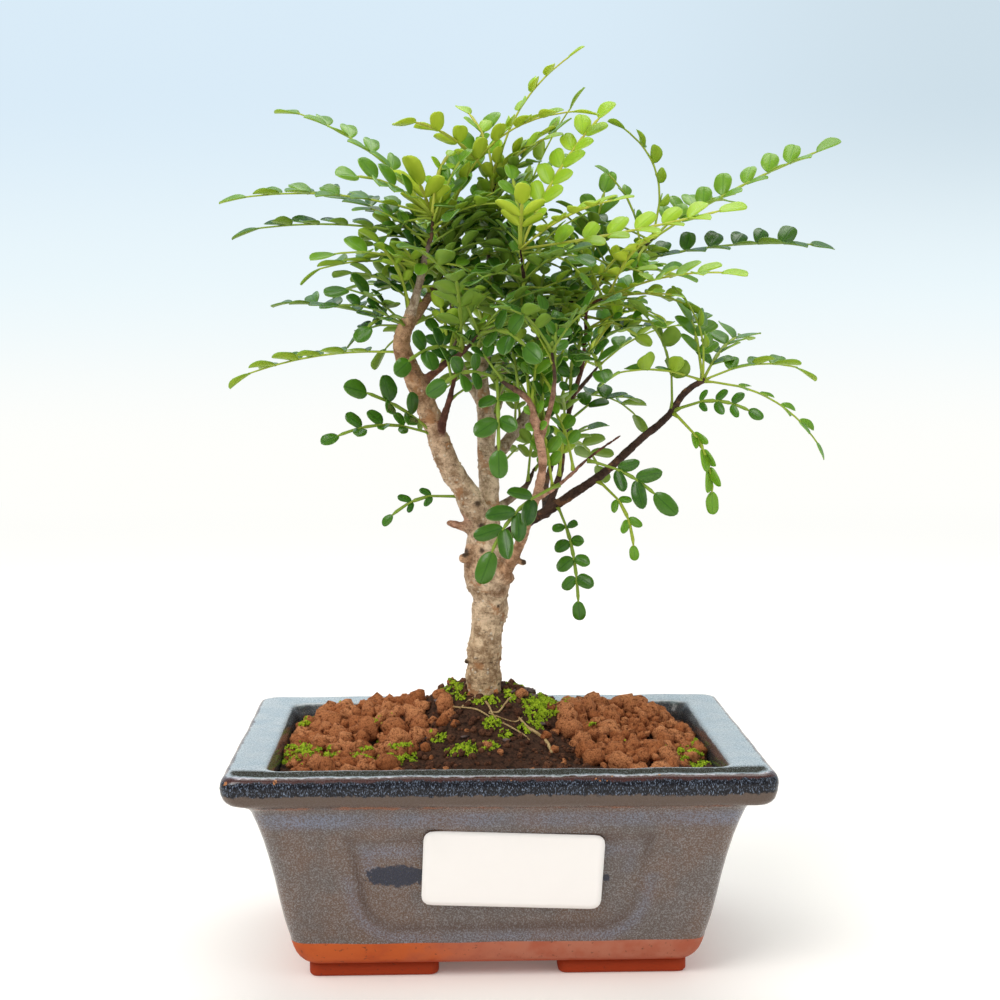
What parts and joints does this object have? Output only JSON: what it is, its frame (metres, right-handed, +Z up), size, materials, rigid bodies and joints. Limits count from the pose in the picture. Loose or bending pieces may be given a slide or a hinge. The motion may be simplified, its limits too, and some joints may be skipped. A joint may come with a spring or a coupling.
{
  "type": "chinese pepper bonsai",
  "caption": "Indoor bonsai: a chinese pepper tree with a forked trunk and airy pinnate leaves, standing in a rectangular speckled glazed pot on low corner feet.",
  "frame": {"origin": "middle of the whole object's box on the surface that the pot's feet stand on", "axes": "+Z up, +X along the pot's long side to the viewer's right, +Y to the back, away from the side with the label"},
  "size_m": [0.1958, 0.1406, 0.2678],
  "materials": {
    "glaze": "gloss",
    "label_paper": "satin",
    "screen_plastic": "matte",
    "soil": "matte",
    "clay_grains": "matte",
    "bark": "matte",
    "leaf_young": "satin",
    "leaf_mid": "satin",
    "leaf_dark": "satin"
  },
  "bodies": {
    "root": {"pot": "glaze", "shop_label": "label_paper", "drain_screen_left": "screen_plastic", "drain_screen_right": "screen_plastic", "soil": "soil", "clay_grains_left": "clay_grains", "clay_grains_right": "clay_grains", "trunk_and_branches": "bark", "spray_centre_top_end": "leaf_young", "spray_left_end_top": "leaf_mid", "spray_left_crown_top": "leaf_mid", "spray_left_crown_side": "leaf_dark", "spray_left_crown_low": "leaf_mid", "spray_left_knot": "leaf_dark", "spray_left_limb_upper": "leaf_mid", "spray_left_limb_lower": "leaf_dark", "spray_left_low": "leaf_dark", "spray_centre_top_side": "leaf_dark", "spray_centre_top_low": "leaf_dark", "spray_mid_up_top": "leaf_young", "spray_mid_up_side": "leaf_dark", "spray_right_crown_end": "leaf_mid", "spray_right_crown_side": "leaf_dark", "spray_right_crown_low": "leaf_mid", "spray_mid_right_end": "leaf_young", "spray_mid_right_side": "leaf_dark", "spray_mid_right_low": "leaf_dark", "spray_front_up_end": "leaf_dark", "spray_front_tip_end": "leaf_dark", "spray_left_inner_end": "leaf_dark", "spray_left_stub_end": "leaf_dark", "spray_back_left_end": "leaf_mid", "spray_back_left_side": "leaf_dark", "spray_back_mid_end": "leaf_mid", "spray_back_mid_side": "leaf_dark", "spray_back_mid_low": "leaf_dark", "spray_back_right_end": "leaf_mid", "spray_back_right_side": "leaf_dark", "spray_back_low_end": "leaf_dark", "spray_right_low_end": "leaf_dark", "spray_right_end": "leaf_mid", "spray_right_bend": "leaf_dark", "spray_right_inner": "leaf_mid", "spray_right_root": "leaf_dark", "spray_right_thin_end": "leaf_young", "spray_right_thin_low": "leaf_mid"}
  },
  "joints": []
}
